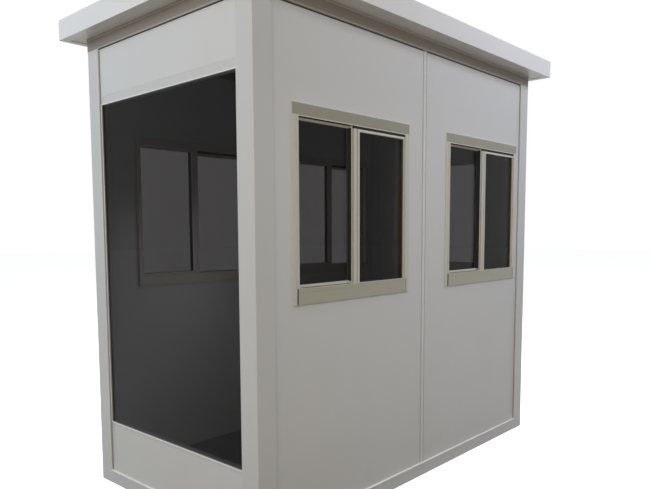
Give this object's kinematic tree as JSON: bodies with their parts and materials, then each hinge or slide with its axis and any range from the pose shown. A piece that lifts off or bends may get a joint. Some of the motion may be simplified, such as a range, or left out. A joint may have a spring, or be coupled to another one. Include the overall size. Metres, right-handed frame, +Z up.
{
  "type": "operator booth",
  "caption": "Small rectangular cabin of white sandwich panels with a flat overhanging roof, a tall fixed window in one end, sliding side windows and a door in the other end.",
  "frame": {"origin": "on the ground, under the middle of the booth's box", "axes": "+Z up; -X is the end with the tall window, +X the end with the door; -Y and +Y are the long sides with two sliding windows each"},
  "size_m": [2.6, 1.45, 2.4],
  "materials": {
    "wall_panel_skin": "white prepainted steel sheet, satin",
    "white_trim": "white painted folded profile, satin",
    "top_channel_metal": "taupe painted folded profile, satin",
    "roof_trim": "white folded edge trim, satin",
    "roof_skin": "white prepainted steel sheet, satin",
    "floor_sheet": "black floor sheet on a board, matt",
    "window_frame_metal": "champagne coated aluminium profile",
    "sash_metal": "pale champagne coated aluminium profile",
    "dark_glass": "grey tinted float glass",
    "door_hardware": "brushed steel"
  },
  "bodies": {
    "root": {"floor_panel": "floor_sheet", "base_channel_front": "white_trim", "base_channel_back": "white_trim", "base_channel_right": "white_trim", "base_channel_left": "white_trim", "corner_post_front_right": "white_trim", "corner_post_front_left": "white_trim", "corner_post_back_right": "white_trim", "corner_post_back_left": "white_trim", "kick_panel": "wall_panel_skin", "header_panel": "wall_panel_skin", "tall_window_frame": "white_trim", "tall_window_glass": "dark_glass", "side_panel_right_front": "wall_panel_skin", "side_panel_right_back": "wall_panel_skin", "side_panel_left_front": "wall_panel_skin", "side_panel_left_back": "wall_panel_skin", "joint_strip_right": "white_trim", "joint_strip_left": "white_trim", "window_frame_right_front": "window_frame_metal", "window_frame_right_back": "window_frame_metal", "window_frame_left_front": "window_frame_metal", "window_frame_left_back": "window_frame_metal", "sashes_right_front": "sash_metal", "sashes_right_back": "sash_metal", "sashes_left_front": "sash_metal", "sashes_left_back": "sash_metal", "window_glass_right": "dark_glass", "window_glass_left": "dark_glass", "back_panel_right": "wall_panel_skin", "back_panel_left": "wall_panel_skin", "back_panel_over_door": "wall_panel_skin", "door_frame": "white_trim", "door_leaf": "wall_panel_skin", "door_glass": "dark_glass", "door_handle": "door_hardware", "door_hinges": "door_hardware", "top_channel_front": "top_channel_metal", "top_channel_back": "top_channel_metal", "top_channel_right": "top_channel_metal", "top_channel_left": "top_channel_metal", "roof_panel": "roof_skin", "fascia_front": "roof_trim", "fascia_back": "roof_trim", "fascia_right": "roof_trim", "fascia_left": "roof_trim"}
  },
  "joints": []
}
